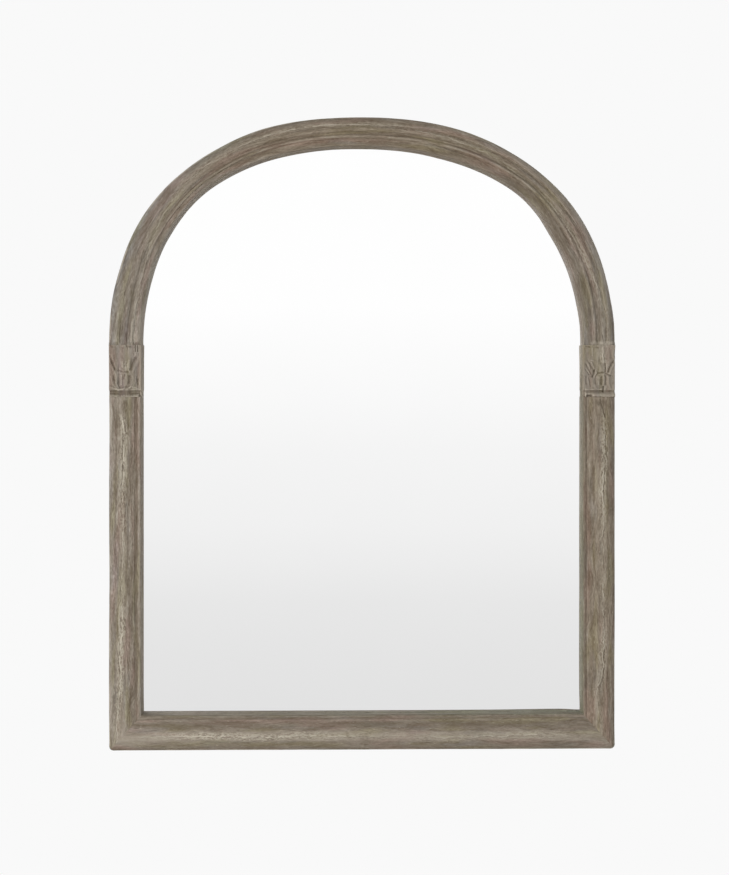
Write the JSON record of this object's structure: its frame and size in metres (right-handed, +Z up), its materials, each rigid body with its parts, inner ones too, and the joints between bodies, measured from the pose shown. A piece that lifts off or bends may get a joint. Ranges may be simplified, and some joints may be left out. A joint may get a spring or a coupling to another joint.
{
  "type": "arched mirror",
  "caption": "Arched wall mirror in a weathered wooden frame, with carved capitals under a moulded arch and ring hangers on its back.",
  "frame": {"origin": "centre of the object's box at the underside of the bottom rail", "axes": "+Z up, +Y towards the wall behind, -Y is the mirror's front, +X to the right seen from the front"},
  "size_m": [0.8, 0.0408, 1],
  "materials": {
    "frame_wood": "weathered grey-brown wash, rubbed back, matt",
    "mirror_silver": "silvered float glass",
    "backing_fibreboard": "raw brown fibreboard",
    "beech": "bare, fluted",
    "zinc_steel": "bright zinc plated",
    "bumper_rubber": "matt black"
  },
  "bodies": {
    "frame": {"arch_crown": "frame_wood", "arch_haunch_left": "frame_wood", "arch_haunch_right": "frame_wood", "backing_board": "backing_fibreboard", "board_screw_1": "zinc_steel", "board_screw_10": "zinc_steel", "board_screw_11": "zinc_steel", "board_screw_12": "zinc_steel", "board_screw_13": "zinc_steel", "board_screw_14": "zinc_steel", "board_screw_15": "zinc_steel", "board_screw_2": "zinc_steel", "board_screw_3": "zinc_steel", "board_screw_4": "zinc_steel", "board_screw_5": "zinc_steel", "board_screw_6": "zinc_steel", "board_screw_7": "zinc_steel", "board_screw_8": "zinc_steel", "board_screw_9": "zinc_steel", "bottom_rail": "frame_wood", "capital_left": "frame_wood", "capital_right": "frame_wood", "crown_dowel_1_left": "beech", "crown_dowel_1_right": "beech", "crown_dowel_2_left": "beech", "crown_dowel_2_right": "beech", "glass_pad_left": "bumper_rubber", "glass_pad_right": "bumper_rubber", "hanger_screw_1_left": "zinc_steel", "hanger_screw_1_right": "zinc_steel", "hanger_screw_2_left": "zinc_steel", "hanger_screw_2_right": "zinc_steel", "hanger_strap_left": "zinc_steel", "hanger_strap_right": "zinc_steel", "mirror_glass": "mirror_silver", "mitre_biscuit_left": "beech", "mitre_biscuit_right": "beech", "spring_dowel_1_left": "beech", "spring_dowel_1_right": "beech", "spring_dowel_2_left": "beech", "spring_dowel_2_right": "beech", "stile_left": "frame_wood", "stile_right": "frame_wood", "wall_bumper_left": "bumper_rubber", "wall_bumper_right": "bumper_rubber"},
    "ring_left": {"hanger_ring_left": "zinc_steel"},
    "ring_right": {"hanger_ring_right": "zinc_steel"}
  },
  "joints": [
    {"name": "ring_left_swing", "type": "hinge", "parent": "frame", "child": "ring_left", "pos_m": [-0.3835, 0.0173, 0.612], "axis": [1, 0, 0], "range_deg": [0, 176]},
    {"name": "ring_right_swing", "type": "hinge", "parent": "frame", "child": "ring_right", "pos_m": [0.3835, 0.0173, 0.612], "axis": [1, 0, 0], "range_deg": [0, 176]}
  ]
}
